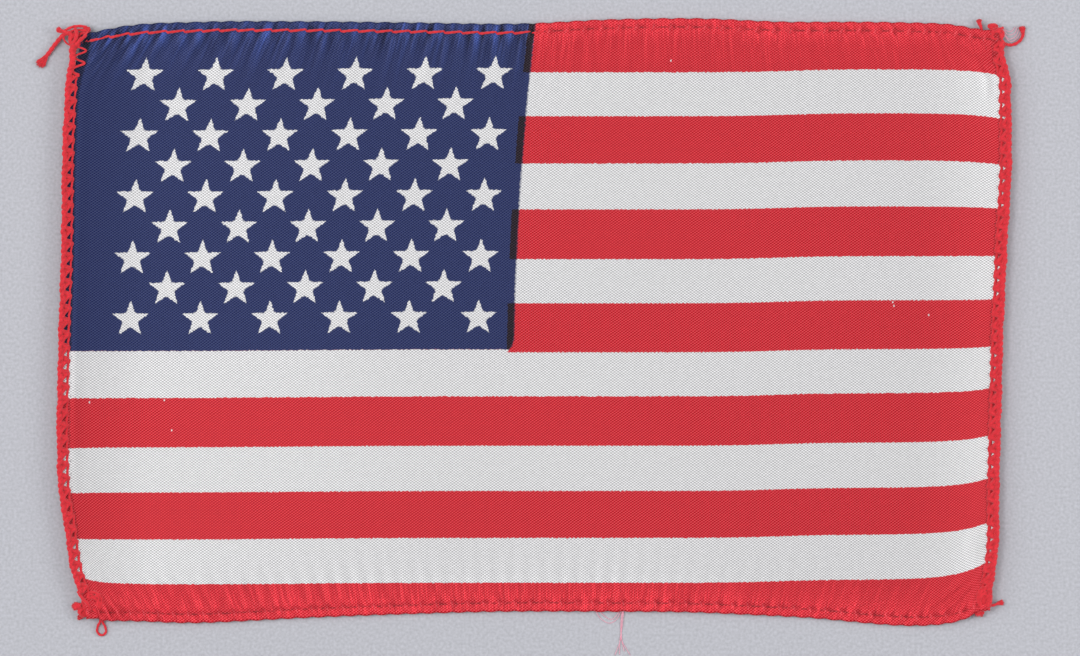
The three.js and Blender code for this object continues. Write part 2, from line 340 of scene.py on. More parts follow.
# Soft ridges and troughs: where each starts and ends, its height and its half width
CREASES = [
    ((-73.3, -30.0), (-73.3, 43.0), 0.14, 0.6),
    ((-71.7, 45.2), (-74.2, 40.6), 0.22, 0.35),
    ((-70.6, 44.6), (-73.4, 39.4), 0.16, 0.35),
    ((-69.0, 44.8), (-72.4, 38.0), 0.12, 0.35),
    ((70.2, 42.2), (73.6, 37.8), 0.22, 0.25),
    ((64.6, -47.2), (72.2, -43.2), 0.26, 0.35),
    ((66.8, -48.6), (73.6, -44.4), 0.28, 0.35),
    ((68.0, -39.0), (73.8, -38.0), 0.20, 0.4),
    ((69.6, -42.0), (73.6, -40.6), 0.14, 0.5),
    ((66.5, 45.6), (72.5, 42.6), 0.12, 0.4),
    ((-70.5, -43.8), (-73.6, -40.2), 0.18, 0.4),
    ((-67.6, -44.6), (-71.5, -41.2), 0.14, 0.4),
]

# Long low waves over the whole cloth: how long each is, its direction and its height
WAVES = [(41.0, 0.35, 0.07), (27.0, 1.9, 0.05), (66.0, 2.6, 0.10)]


def stitch_wave(across, inward, pitch):
    """0 at each stitch hole of a hem and 1 half way between, along the slanted ridges."""
    slant = -PUCKER_SLANT * across / HALF_WIDTH * (1 + (across / HALF_WIDTH) ** 2)
    stitches = (across + slant * inward - HEM_STITCH_START) / pitch
    return 0.5 - 0.5 * np.cos(2 * np.pi * stitches)


def ridge(across, up, start, end, height, half_width):
    """A straight ridge with a bell-shaped section, which dies out at both ends."""
    start, end = np.array(start), np.array(end)
    length = np.linalg.norm(end - start)
    along_way = (end - start) / length
    along = (across - start[0]) * along_way[0] + (up - start[1]) * along_way[1]
    aside = (across - start[0]) * along_way[1] - (up - start[1]) * along_way[0]
    ends = smooth(along, -0.1 * length, 0.3 * length) * smooth(-along, -1.1 * length, -0.7 * length)
    return height * ends * np.exp(-((aside / half_width) ** 2))


random = np.random.default_rng(7)
RIDGE_SIZES = random.uniform(*PUCKER_SIZES, PUCKER_COUNT)


def cloth_height(across, up):
    """How high the cloth's middle layer lies, before its side edges curl: the paper, the hems' extra
    layers with a groove at their stitches, the puckers, the creases and the long waves."""
    height = np.full(np.broadcast(across, up).shape, REST_HEIGHT)
    for hem, fold in ((1, TOP_FOLD), (-1, BOTTOM_FOLD)):
        inward = hem * (through(fold, across) - up)
        wave = stitch_wave(across, inward, HEM_STITCH_PITCH[hem])
        half_wave = np.sqrt(np.clip(wave * (1 - wave), 0, 1)) * 2
        number = (across - HEM_STITCH_START) / HEM_STITCH_PITCH[hem]
        own_size = np.interp(number, np.arange(PUCKER_COUNT) + 0.5, RIDGE_SIZES)
        own_split = np.interp(number, np.arange(PUCKER_COUNT), RIDGE_SIZES[::-1] - PUCKER_SIZES[0])
        gather = wave**PUCKER_SHARPNESS * own_size + PUCKER_SPLIT * half_wave**2 * own_split
        bell = np.exp(-(((inward - HEM_STITCH_INSET) / GROOVE_WIDTH) ** 2))
        groove = GROOVE_DEPTH * (GROOVE_AT_HOLES - wave) * bell
        height = height + 2 * HEM_FOLD_RADIUS * (1 - smooth(inward, *HEM_LAYERS_EDGE)) - groove
        strength = PUCKER_HEIGHT * through(PUCKER_STRENGTH, across)
        height = height + strength * gather * fade(inward, PUCKER_REACH)
    for crease in CREASES:
        height = height + ridge(across, up, *crease)
    for length, heading, rise in WAVES:
        along = across * np.cos(heading) + up * np.sin(heading)
        height = height + rise * (0.5 + 0.5 * np.sin(2 * np.pi * along / length))
    return height


COLUMNS = 380
HEM_ROWS = 24
HEM_ROWS_REACH = 8.0
HEM_ROWS_CROWDING = 1.6
MIDDLE_ROWS = 38
FOLD_ROWS = 7
BACK_ROWS = 5
SECOND_FOLD = np.array([(0.06, 0.06), (0.0, 0.14), (-0.3, 0.16)])
UV_SPAN = (160.0, 110.0)

# How far the knots draw the cloth's corners in: the side, the heights between which the pull grows
# to its full size, and that size
CORNER_PULLS = [(-1, 36.0, 46.0, 1.9), (1, 45.0, 48.0, 0.7)]
CORNER_PULL_REACH = 4.0


def hem_section(across, fold, hem):
    """A turned hem from the middle of the cloth outwards: over its face to the fold, half way round,
    and back under it to a second fold. Each row has its place up, its height, and its place up on the
    cloth before it was turned, walked along its section."""
    share = np.linspace(1, 0, HEM_ROWS)[:, None] ** HEM_ROWS_CROWDING
    face_in = HEM_FOLD_RADIUS + (HEM_ROWS_REACH - HEM_FOLD_RADIUS) * share + 0 * across
    wave = stitch_wave(across, 0, HEM_STITCH_PITCH[hem])
    edge = fold - hem * SCALLOP * (1 - wave**SCALLOP_ROUNDNESS)
    face_up = edge - hem * face_in
    face_height = cloth_height(across, face_up)
    turn = np.linspace(0, np.pi, FOLD_ROWS + 1)[1:, None]
    radius = 0.5 * (face_height[-1] - HEM_BACK_HEIGHT)
    turn_in = HEM_FOLD_RADIUS * (1 - np.sin(turn)) + 0 * across
    turn_height = HEM_BACK_HEIGHT + radius * (1 + np.cos(turn))
    back_in = np.linspace(HEM_FOLD_RADIUS, HEM_WIDTH, BACK_ROWS + 1)[1:, None] + 0 * across
    back_height = HEM_BACK_HEIGHT + 0 * back_in
    second_in = HEM_WIDTH + SECOND_FOLD[:, :1] + 0 * across
    second_height = HEM_BACK_HEIGHT + SECOND_FOLD[:, 1:] + 0 * across
    inward = np.concatenate([face_in, turn_in, back_in, second_in])
    height = np.concatenate([face_height, turn_height, back_height, second_height])
    steps = np.hypot(np.diff(inward, axis=0), np.diff(height, axis=0) * (inward[1:] <= HEM_FOLD_RADIUS))
    walked = np.concatenate([0 * inward[:1], np.cumsum(steps, axis=0)])
    flat_up = face_up[:1] + hem * walked
    return edge - hem * inward, height, flat_up


def cloth_grids():
    """The whole sheet as one grid: the bottom hem from its hidden edge, the middle, the top hem. Its
    first uv is its place on the flat cloth, and its second the stitch and the distance in from the fold."""
    across = np.linspace(-RAW_EDGE, RAW_EDGE, COLUMNS)[None, :]
    bottom = [rows[::-1] for rows in hem_section(across, through(BOTTOM_FOLD, across), -1)]
    top = hem_section(across, through(TOP_FOLD, across), 1)
    share = np.linspace(0, 1, MIDDLE_ROWS + 2)[1:-1, None]
    middle_up = bottom[0][-1] + (top[0][0] - bottom[0][-1]) * share
    middle = (middle_up, cloth_height(across, middle_up), middle_up)
    up, height, flat_up = (np.concatenate(rows) for rows in zip(bottom, middle, top))
    across = across + 0 * up
    uv = np.stack([across / UV_SPAN[0] + 0.5, flat_up / UV_SPAN[1] + 0.5], axis=-1)
    from_top = through(TOP_FOLD, across) - flat_up
    from_bottom = flat_up - through(BOTTOM_FOLD, across)
    pitch = np.where(from_top < from_bottom, HEM_STITCH_PITCH[1], HEM_STITCH_PITCH[-1])
    hem_uv = np.stack([(across - HEM_STITCH_START) / pitch, np.minimum(from_top, from_bottom)], axis=-1)
    for side, start, end, pull in CORNER_PULLS:
        drawn = pull * smooth((up - start) * np.sign(end), 0, abs(end - start))
        across = across - side * drawn * fade(HALF_WIDTH - side * across, CORNER_PULL_REACH)
    points = lay(across, up, height)
    return grid(points, uv), grid(points, hem_uv)[2]


# The print. Red, white and blue dye in the face of the cloth, a little ragged at its edges where
# yarns took the dye or didn't. The blue was printed over the ends of the red stripes. Each edge
# between two stripes is the mean of three readings of the photograph.
STRIPE_EDGES = [40.51, 33.42, 25.76, 18.32, 10.25, 3.12, -4.83, -11.95, -19.97, -27.26, -34.89, -42.14]
CANTON_RIGHT = -2.6
CANTON_BOTTOM = -4.35
CANTON_CORNER = 1.3
CANTON_CORNER_REACH = 1.4
CANTON_SOFTNESS = 0.16
OVERPRINT_LEFT = -3.74
STAR_POINT = 3.04
STAR_WAIST = 1.37
STAR_HOLLOW = 2.45
STAR_SQUASH = 1.04
STAR_FIELDS = [
    {"left": -64.8, "top": 40.25, "across": 11.27, "columns": 6, "rows": 5},
    {"left": -59.07, "top": 35.33, "across": 11.2, "columns": 5, "rows": 4},
]
STAR_ROW_PITCH = 9.87
SPECKS = [
    (20.0, 42.4), (-71.1, -12.6), (-59.2, -12.3), (-58.0, -17.2), (58.5, 2.8), (58.7, 2.2), (64.3, 0.7),
]
SPECK_RADIUS = 0.17
SPECK_SQUASH = 1.5
PRINT_SOFTNESS = 0.05
RAGGED = 0.34
RAGGED_SCALES = (2.3, 2.9)
YARN_ACROSS = 0.295
YARN_UP = 0.219
YARN_WANDER = 0.12
WANDER_SCALE = 0.7
UNEVEN_SCALE = 1.2
UNEVEN_DEPTH = 0.12
WHITE = (0.585, 0.580, 0.587, 1)
RED = (0.504, 0.0235, 0.0375, 1)
BLUE = (0.026, 0.035, 0.104, 1)
# Painted highlight: the brighter, bluer colour painted on the blue's gathers where they catch the light.
BLUE_LIT = (0.030, 0.054, 0.205, 1)
# The dark of the blue printed over the red, which also paints the shade in the needle holes.
OVERPRINT_AND_HOLE_SHADE = (0.020, 0.012, 0.020, 1)
DARKEST = (0.004, 0.004, 0.004)
# How much the weave lightens and darkens each colour, as the yarns' texture and painted light and shade.
WHITE_CONTRAST = 0.54
RED_CONTRAST = 0.19
BLUE_CONTRAST = 0.16
# Painted highlights: glints added on the crossings of dyed yarns.
RED_GLINT = 0.052
BLUE_GLINT = 0.022
CLOTH_GLOSS = 0.38
CLOTH_ROUGHNESS = 0.42
CLOTH_SHEEN = 0.05
CLOTH_MIRROR = 0.12
WEAVE_DEPTH = 0.00003
WEAVE_DIAGONAL = 0.22

# What the sewing does to the look of the cloth, mostly as light and shade painted into its colour:
# painted light on the hems, a painted shadow beside each stitch, a painted glint at each hole, fine
# gathers too small for the mesh as bumps with painted light and shade, and a painted shadow and
# holes painted dark beside the edgings
HEM_PAINTED_LIGHT = 0.11
HEM_PAINTED_LIGHT_EDGE = (3.0, 4.0)
STITCH_SHADOW = 0.55
STITCH_SHADOW_LINE = (0.14, 0.12)
STITCH_SHADOW_PATCHES = (0.45, 0.12)
STITCH_SHADOW_START = 0.18
STITCH_SHADOW_END = 0.85
PINCH_GLINT = 0.045
PINCH_SLANT = 0.12
PINCH_WIDTH = 0.03
PINCH_REACH = 0.45
GATHER_DEPTH = 0.0015
GATHER_REACH = 2.5
GATHER_STRETCH = (0.95, 0.08, 0)
GATHER_LEAST = 0.8
GATHER_MORE = 0.6
GATHER_PATCH_SCALE = 0.07
STITCH_GATHER = 0.13
STITCH_GATHER_REACH = 1.3
STITCH_GATHER_SLANT = 0.1
# How much painted light and shade the gathers give the red and the blue, and how far the blue turns to its
# painted highlight.
RED_GATHER_SHADE = 0.4
BLUE_GATHER_SHADE = 2.6
BLUE_LIT_SHARE = 3
EDGING_SHADOW = 0.28
EDGING_SHADOW_INSET = 2.15
EDGING_SHADOW_FOOT = -45.5
NEEDLE_HOLE_INSET = 2.2
NEEDLE_HOLE_PITCH = 2.1
NEEDLE_HOLE_RADIUS = 0.09
NEEDLE_HOLE_SHADE = 0.8


def flat_noise(place, scale, detail):
    """Noise about a half, over a place on the flat cloth."""
    inputs = {"Vector": place, "Scale": scale, "Detail": detail}
    return place.add("ShaderNodeTexNoise", {"noise_dimensions": "2D"}, inputs)


def star_mask(x, y, field):
    """1 on the stars of one field. In each cell the angle from the nearest point of the star is
    folded to a tenth of a turn, and the edge's radius falls from the point to the waist."""
    across, down = field["across"], STAR_ROW_PITCH
    column = (x - (field["left"] - across / 2)) / across
    row = (y - (field["top"] - (field["rows"] - 0.5) * down)) / down
    cell_x = (column.math("FRACT") - 0.5) * across
    cell_y = (row.math("FRACT") - 0.5) * (down * STAR_SQUASH)
    radius = (cell_x * cell_x + cell_y * cell_y).math("SQRT")
    angle = cell_x.math("ARCTAN2", cell_y)
    fifth = 2 * np.pi / 5
    folded = (((angle / fifth + 5.5).math("FRACT") - 0.5) * 2).math("ABSOLUTE")
    edge = (1 - folded).math("POWER", STAR_HOLLOW) * (STAR_POINT - STAR_WAIST) + STAR_WAIST
    inside = (edge - radius).past(0, 2 * PRINT_SOFTNESS)
    columns = column.past(0, 0.01) - column.past(field["columns"], 0.01)
    rows = row.past(0, 0.01) - row.past(field["rows"], 0.01)
    return inside * columns * rows


def print_masks(x, y):
    """Where the print is white between its red stripes, blue, overprinted and starred, each from 0
    to 1. The stripes switch at each edge, and the blue's lower right corner is worn away."""
    white_rows = 0
    for number, edge in enumerate(STRIPE_EDGES):
        above = y.past(edge, PRINT_SOFTNESS)
        white_rows = white_rows - above if number % 2 == 0 else white_rows + above
    above_foot = y.past(CANTON_BOTTOM, PRINT_SOFTNESS)
    worn = 1 - y.past(CANTON_BOTTOM + CANTON_CORNER_REACH / 2, CANTON_CORNER_REACH)
    left_of_edge = 1 - (x + worn.math("POWER", 2.0) * CANTON_CORNER).past(CANTON_RIGHT, CANTON_SOFTNESS)
    canton = left_of_edge * above_foot
    under_canton = left_of_edge * (1 - above_foot) * y.past(STRIPE_EDGES[7], PRINT_SOFTNESS)
    white_rows = white_rows.math("MAXIMUM", under_canton)
    overprint = canton * x.past(OVERPRINT_LEFT, PRINT_SOFTNESS) * (1 - white_rows)
    stars = star_mask(x, y, STAR_FIELDS[0]) + star_mask(x, y, STAR_FIELDS[1])
    return white_rows, canton, overprint, stars


def speck_mask(x, y):
    """1 on the few specks that took no dye, each a small upright oval."""
    specks = 0
    for speck_x, speck_y in SPECKS:
        away_x, away_y = (x - speck_x) * SPECK_SQUASH, y - speck_y
        specks = specks + (SPECK_RADIUS**2 - away_x * away_x - away_y * away_y).past(0, 0.03)
    return specks


def hem_gathers(x, y, hem, from_stitching, dyed):
    """How the stitching gathers the dyed cloth, above and below 0: noise drawn out into narrow folds
    that fan out from the hem, and one ripple a stitch close to it. Both die out away from it."""
    off_line = from_stitching.math("ABSOLUTE")
    near = (off_line * (-1 / GATHER_REACH)).math("EXPONENT") * dyed
    fan = 1 - from_stitching * (PUCKER_SLANT / HALF_WIDTH)
    fanned = x.add("ShaderNodeCombineXYZ", {}, {0: x * fan, 1: y})
    drawn = x.add("ShaderNodeVectorMath", {"operation": "MULTIPLY"}, {0: fanned, 1: GATHER_STRETCH})
    patches = flat_noise(drawn, GATHER_PATCH_SCALE, 1.0).past(0.47, 0.08)
    folds = (flat_noise(drawn, 1.0, 3.0) - 0.5) * near * (GATHER_LEAST + patches * GATHER_MORE)
    close = (off_line * (-1 / STITCH_GATHER_REACH)).math("EXPONENT") * dyed
    ripple = ((hem - from_stitching * STITCH_GATHER_SLANT) * (-2 * np.pi)).math("SINE")
    return folds + ripple * close * STITCH_GATHER


def painted_stitch_shadow_and_glint(hem, from_stitching, uneven):
    """The dark line of painted shadow beside each hem stitch, in patches, and the painted glint where a hole
    pinches the cloth.
    """
    share = hem.math("FRACT")
    off_line = from_stitching.math("ABSOLUTE")
    shadow = (1 - off_line.past(*STITCH_SHADOW_LINE)) * uneven.past(*STITCH_SHADOW_PATCHES)
    shadow = shadow * (share.past(STITCH_SHADOW_START, 0.06) - share.past(STITCH_SHADOW_END, 0.06))
    slanted = hem + from_stitching * PINCH_SLANT + 0.5
    from_hole = (slanted.math("FRACT") - 0.5).math("ABSOLUTE")
    pinch = (1 - from_hole.past(PINCH_WIDTH, PINCH_WIDTH)) * (1 - off_line.past(PINCH_REACH, 0.15))
    return shadow * STITCH_SHADOW, pinch * PINCH_GLINT


def painted_edging_shade(x, y):
    """The painted soft shadow under each side edging, and the needle's holes beside it, one a stitch,
    painted dark as the shade in them.
    """
    inset = HALF_WIDTH - x.math("ABSOLUTE")
    shadow = (1 - inset.past(EDGING_SHADOW_INSET, 0.15)) * y.past(EDGING_SHADOW_FOOT, 1.5) * EDGING_SHADOW
    hole_y = ((y / NEEDLE_HOLE_PITCH).math("FRACT") - 0.5) * NEEDLE_HOLE_PITCH
    hole_x = inset - NEEDLE_HOLE_INSET
    holes = 1 - (hole_x * hole_x + hole_y * hole_y).past(NEEDLE_HOLE_RADIUS**2, 0.004)
    return shadow, holes * NEEDLE_HOLE_SHADE


def printed_cloth(name, strength):
    """The printed cloth. Its pattern is in millimetres on the flat cloth, from the uv map. Strength
    is how much of the dye shows: all of it on the face, less on the back. The weave is one sine
    across times one along, and dyed yarns show a diagonal as well. In the colour, the weave is the
    yarns' texture together with painted light and shade on their crossings, and painted glints on
    the dyed ones."""
    material, bench = new_material(name)
    uv = bench.add("ShaderNodeUVMap", {"uv_map": "flat_cloth"})
    span = (*UV_SPAN, 0)
    offset = (-UV_SPAN[0] / 2, -UV_SPAN[1] / 2, 0)
    flat = bench.add("ShaderNodeVectorMath", {"operation": "MULTIPLY_ADD"}, {0: uv, 1: span, 2: offset})
    x, y = flat.parts()
    hem, from_fold = bench.add("ShaderNodeUVMap", {"uv_map": "hem_place"}).parts()
    from_stitching = from_fold - HEM_STITCH_INSET

    print_x, print_y = (
        place + (flat_noise(flat, scale, 1.0) - 0.5) * RAGGED for place, scale in zip((x, y), RAGGED_SCALES)
    )
    white_rows, canton, overprint, stars = print_masks(print_x, print_y)
    undyed = white_rows * (1 - canton) + stars
    dyed = 1 - undyed

    wander = flat_noise(flat, WANDER_SCALE, 2.0) - 0.5
    yarn_x = ((x + wander * YARN_WANDER) * (np.pi / YARN_ACROSS)).math("SINE")
    yarn_y = ((y - wander * YARN_WANDER) * (np.pi / YARN_UP)).math("SINE")
    slash = (x * (np.pi / YARN_ACROSS) - y * (np.pi / YARN_UP)).math("COSINE")
    weave = yarn_x * yarn_y + slash * dyed * WEAVE_DIAGONAL
    contrast = canton * (BLUE_CONTRAST - RED_CONTRAST) + RED_CONTRAST
    contrast = undyed * WHITE_CONTRAST + dyed * contrast

    uneven = flat_noise(flat, UNEVEN_SCALE, 3.0)
    folds = hem_gathers(x, y, hem, from_stitching, dyed)
    # Painted light and shade of the gathers, weak on the red and strong on the blue.
    shade = folds * (canton * (BLUE_GATHER_SHADE - RED_GATHER_SHADE) + RED_GATHER_SHADE)
    # Painted shadow beside the hem stitches and painted glints at their holes, on the red only.
    shadow, pinch = (mark * (1 - canton) for mark in painted_stitch_shadow_and_glint(hem, from_stitching, uneven))
    edging_shadow, holes = painted_edging_shade(x, y)
    # Painted shadow beside the edgings, twice as dark on the blue.
    edging_shadow = edging_shadow * dyed * (1 + canton)

    color = bench.mix(white_rows, RED, WHITE)
    color = bench.mix(canton, color, BLUE)
    color = bench.mix(overprint, color, OVERPRINT_AND_HOLE_SHADE)
    color = bench.mix(stars, color, WHITE)
    color = bench.mix(speck_mask(x, y), color, WHITE)
    color = bench.mix(strength, WHITE, color)
    # Painted highlight on the blue's gathers.
    color = bench.mix(folds * canton * (1 - overprint) * BLUE_LIT_SHARE, color, BLUE_LIT)
    # Painted shade: the needle holes are painted dark.
    color = bench.mix(holes, color, OVERPRINT_AND_HOLE_SHADE)

    # The weave's texture and painted light and shade, random tone, painted light on the hems, the painted
    # shadows and the gathers' painted shade.
    light = 1 + weave * contrast + (uneven - 0.5) * UNEVEN_DEPTH
    # Painted light: the dyed hems are painted brighter near the stitching, as they catch more light.
    light = light + (1 - from_stitching.past(*HEM_PAINTED_LIGHT_EDGE)) * dyed * HEM_PAINTED_LIGHT
    light = light * (1 - shadow) * (1 - edging_shadow) * (1 + shade)
    # Painted glints on the dyed yarns and at the stitch holes.
    glint = weave * dyed * (canton * (BLUE_GLINT - RED_GLINT) + RED_GLINT) + pinch
    glints = bench.add("ShaderNodeCombineXYZ", {}, {0: glint, 1: glint, 2: glint})
    color = bench.add("ShaderNodeVectorMath", {"operation": "SCALE"}, {0: color, "Scale": light})
    color = bench.add("ShaderNodeVectorMath", {"operation": "ADD"}, {0: color, 1: glints})
    color = bench.add("ShaderNodeVectorMath", {"operation": "MAXIMUM"}, {0: color, 1: DARKEST})

    height = weave + folds * (GATHER_DEPTH / WEAVE_DEPTH)
    relief = {"Strength": 0.5, "Distance": WEAVE_DEPTH, "Height": height}
    finish_material(bench, {
        "Base Color": color,
        "Metallic": CLOTH_GLOSS,
        "Roughness": CLOTH_ROUGHNESS,
        "Sheen Weight": CLOTH_SHEEN,
        "Sheen Roughness": 0.4,
        "Specular IOR Level": CLOTH_MIRROR,
        "Normal": bench.add("ShaderNodeBump", {}, relief),
    })
    return material


cloth_materials = [printed_cloth("printed_face", 1.0), printed_cloth("printed_back", 0.72)]
cloth_sheet, hem_places = cloth_grids()
cloth = new_piece("printed_cloth", [cloth_sheet], cloth_materials, "flat_cloth")
cloth.data.uv_layers.new(name="hem_place").data.foreach_set("uv", hem_places.astype(np.float32).ravel())
wall = cloth.modifiers.new("cloth_thickness", "SOLIDIFY")
wall.thickness = THICKNESS / 1000
wall.offset = 0
wall.material_offset = 1
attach(cloth, "root")
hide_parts("flag_cloth")


# Hem stitching. One row of lockstitch in bright red spun thread along each hem, 1.4 mm inside the
# fold. Each stitch lies on the cloth from hole to hole, on the face and on the back, and sinks
# deeper into it where the cloth is red.
HEM_THREAD_RADIUS = 0.23
BACK_THREAD_RADIUS = 0.14
HEM_ROW_LENGTH = 145.8
STITCH_POINTS = 14
STITCH_DRIFT = 0.35
STITCH_THICK_END = 1.12
STITCH_TAPER = 0.3
STITCH_ARCH = 1.6
STITCH_DIP = 0.8
RED_STITCH_SINK = 0.38
SUNK_THINNING = 0.5
RED_BEGINS = (-6, 2)
CLEAR_OF_PAPER = 0.02
THREAD_COLOR = (0.84, 0.025, 0.043, 1)
# Painted shade: the darker red in the grooves between the fibres.
THREAD_SHADE = (0.38, 0.006, 0.012, 1)
THREAD_PLIES = 2
PLY_PITCH = 0.9
PLY_DEPTH = 0.10
THREAD_ROUGHNESS = 0.7
THREAD_SHEEN = 0.32
FIBRE_DEPTH = 0.00001
FIBRES_A_TURN = 5
FIBRE_SHARE = 0.35
FIBRE_MOTTLE_SCALE = 1800.0


def spun_thread(name, color, shade):
    """Spun thread. Darker slanted lines of painted shade between its fibres run round it as its plies
    do, read from the uv map, whose u is the length along the thread in centimetres and v the way
    round. They and a fine mottle mix the thread's colour with its painted shade colour."""
    material, bench = new_material(name)
    along, around = bench.add("ShaderNodeUVMap", {"uv_map": "along_thread"}).parts()
    twist = along * (10 / PLY_PITCH) + around
    fibres = (twist * (2 * np.pi * FIBRES_A_TURN)).math("SINE") * 0.5 + 0.5
    place = bench.add("ShaderNodeTexCoord", output=3)
    inputs = {"Vector": place, "Scale": FIBRE_MOTTLE_SCALE, "Detail": 3.0}
    mottle = bench.add("ShaderNodeTexNoise", {}, inputs)
    depth = fibres * FIBRE_SHARE + mottle * (1 - FIBRE_SHARE)
    relief = {"Strength": 0.6, "Distance": FIBRE_DEPTH, "Height": depth}
    finish_material(bench, {
        "Base Color": bench.mix(depth.past(0.5, 0.3), shade, color),
        "Roughness": THREAD_ROUGHNESS,
        "Sheen Weight": THREAD_SHEEN,
        "Sheen Roughness": 0.5,
        "Specular IOR Level": 0.25,
        "Normal": bench.add("ShaderNodeBump", {}, relief),
    })
    return material


def thread(path, radius, sides=10, across_way=(0.31, 0.19, 0.93), plies=THREAD_PLIES):
    """A thread along a path in metres, with its radius in millimetres: a round section, with a
    hollow between its twisted plies, carried square to the path and drawn in to a closed point at
    both ends."""
    path = np.asarray(path, float)
    tangent = np.gradient(path, axis=0)
    tangent /= np.linalg.norm(tangent, axis=1, keepdims=True)
    side_way = np.cross(tangent, np.array(across_way))
    side_way /= np.linalg.norm(side_way, axis=1, keepdims=True)
    other_way = np.cross(side_way, tangent)
    length = np.concatenate([[0], np.cumsum(np.linalg.norm(np.diff(path, axis=0), axis=1))]) * 1000
    around = np.linspace(0, 1, sides + 1)[None, :]
    angle = 2 * np.pi * around + 0 * length[:, None]
    lobes = np.cos(plies * (angle - 2 * np.pi * length[:, None] / (plies * PLY_PITCH)))
    size = np.broadcast_to(np.asarray(radius, float) / 1000, length.shape).copy()
    size[0] = size[-1] = 0
    reach = size[:, None] * (1 - PLY_DEPTH + PLY_DEPTH * lobes)
    spread = np.cos(angle)[..., None] * side_way[:, None] + np.sin(angle)[..., None] * other_way[:, None]
    points = path[:, None] + reach[..., None] * spread
    uv = np.stack([length[:, None] / 10 + 0 * around, around + 0 * angle], axis=-1)
    return grid(points, uv, closed=True)


def stitch_row(fold, hem, face):
    """The thread of one hem on its face or its back. Between two holes it rises from the cloth as a
    low arch, and on the face it drifts out by a quarter of a millimetre before it drops back."""
    pitch = HEM_STITCH_PITCH[hem]
    count = int(HEM_ROW_LENGTH / pitch)
    stitches = np.linspace(0, count, count * STITCH_POINTS + 1)
    across = HEM_STITCH_START + pitch * stitches
    share = stitches % 1
    arch = np.sin(np.pi * share) ** 0.5
    sunk = smooth(across, *RED_BEGINS) if hem > 0 else 1 + 0 * across
    drift = STITCH_DRIFT * (share**1.3 - 0.5) * smooth(1 - share, 0, 0.12)
    up = through(fold, across) - hem * (HEM_STITCH_INSET - drift * face)
    if face:
        radius = HEM_THREAD_RADIUS * (STITCH_THICK_END - STITCH_TAPER * share) * (1 - SUNK_THINNING * sunk)
        rise = HEM_THREAD_RADIUS * (STITCH_ARCH * arch - STITCH_DIP)
        height = cloth_height(across, up) + THICKNESS / 2 + rise - RED_STITCH_SINK * sunk
        height = np.maximum(height, radius + CLEAR_OF_PAPER)
    else:
        height = BACK_THREAD_RADIUS * (1.5 - 0.4 * arch)
        radius = BACK_THREAD_RADIUS
    return thread(lay(across, up, height), radius, across_way=(0, 1, 0))


red_thread = spun_thread("red_spun_thread", THREAD_COLOR, THREAD_SHADE)
for name, hem, fold in (("top", 1, TOP_FOLD), ("bottom", -1, BOTTOM_FOLD)):
    rows = [stitch_row(fold, hem, True), stitch_row(fold, hem, False)]
    hem_thread = new_piece(f"hem_stitching_{name}", rows, [red_thread])
    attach(hem_thread, "root")


# Overlock edging. The raw side edges are sewn over with bulky red threads: a needle thread along
# the inside, loopers that run out over and under the edge, and the braid that they make there.
STITCH_PITCH = 2.1
EDGING_SPANS = {-1: (-45.0, 45.3), 1: (-50.4, 46.4)}
EDGING_POINTS = 16
BRAID_INSET = 0.50
BRAID_HEIGHT = 0.60
BRAID_SWING = (0.16, 0.20)
BRAID_RADIUS = 0.35
LOOPER_INSET = 0.70
LOOPER_REACH = 1.0
LOOPER_HEIGHT = 0.66
LOOPER_FALL = 0.24
LOOPER_RADIUS = {-1: 0.31, 1: 0.38}
NEEDLE_INSET = 1.64
NEEDLE_HEIGHT = 0.24
NEEDLE_RADIUS = {-1: 0.24, 1: 0.30}
TOOTH_LEAN = {-1: 0.10, 1: 0.05}
BAR_SLANT = 0.16
SECOND_STRAND_SHARE = 0.8
EDGING_WANDER = [(1.7, 0.05), (4.1, 0.04)]

# At the top of the left side the edging is loose. It opens between these stitches before its end,
# where it sits further in, reaches further and rises, and its braid swells as its loopers thin
LOOSE_STITCHES = (3.4, 0.9)
LOOSE_INSET = 0.40
LOOSE_REACH = 0.75
LOOSE_RISE = 0.45
LOOSE_SWELL = 0.4
SEWN_BELOW = 0.2


def edging_strand(side, inward, stitches, height, radius):
    """One strand of an edging: its distance in from the outer edge, its place along the edge in
    stitches and its height over the curled edge, as arrays."""
    low, _ = EDGING_SPANS[side]
    across = side * (HALF_WIDTH - inward)
    path = lay(across, low + STITCH_PITCH * stitches, height)
    return thread(path, radius, across_way=(0.12 * side, 0.2, 0.97))


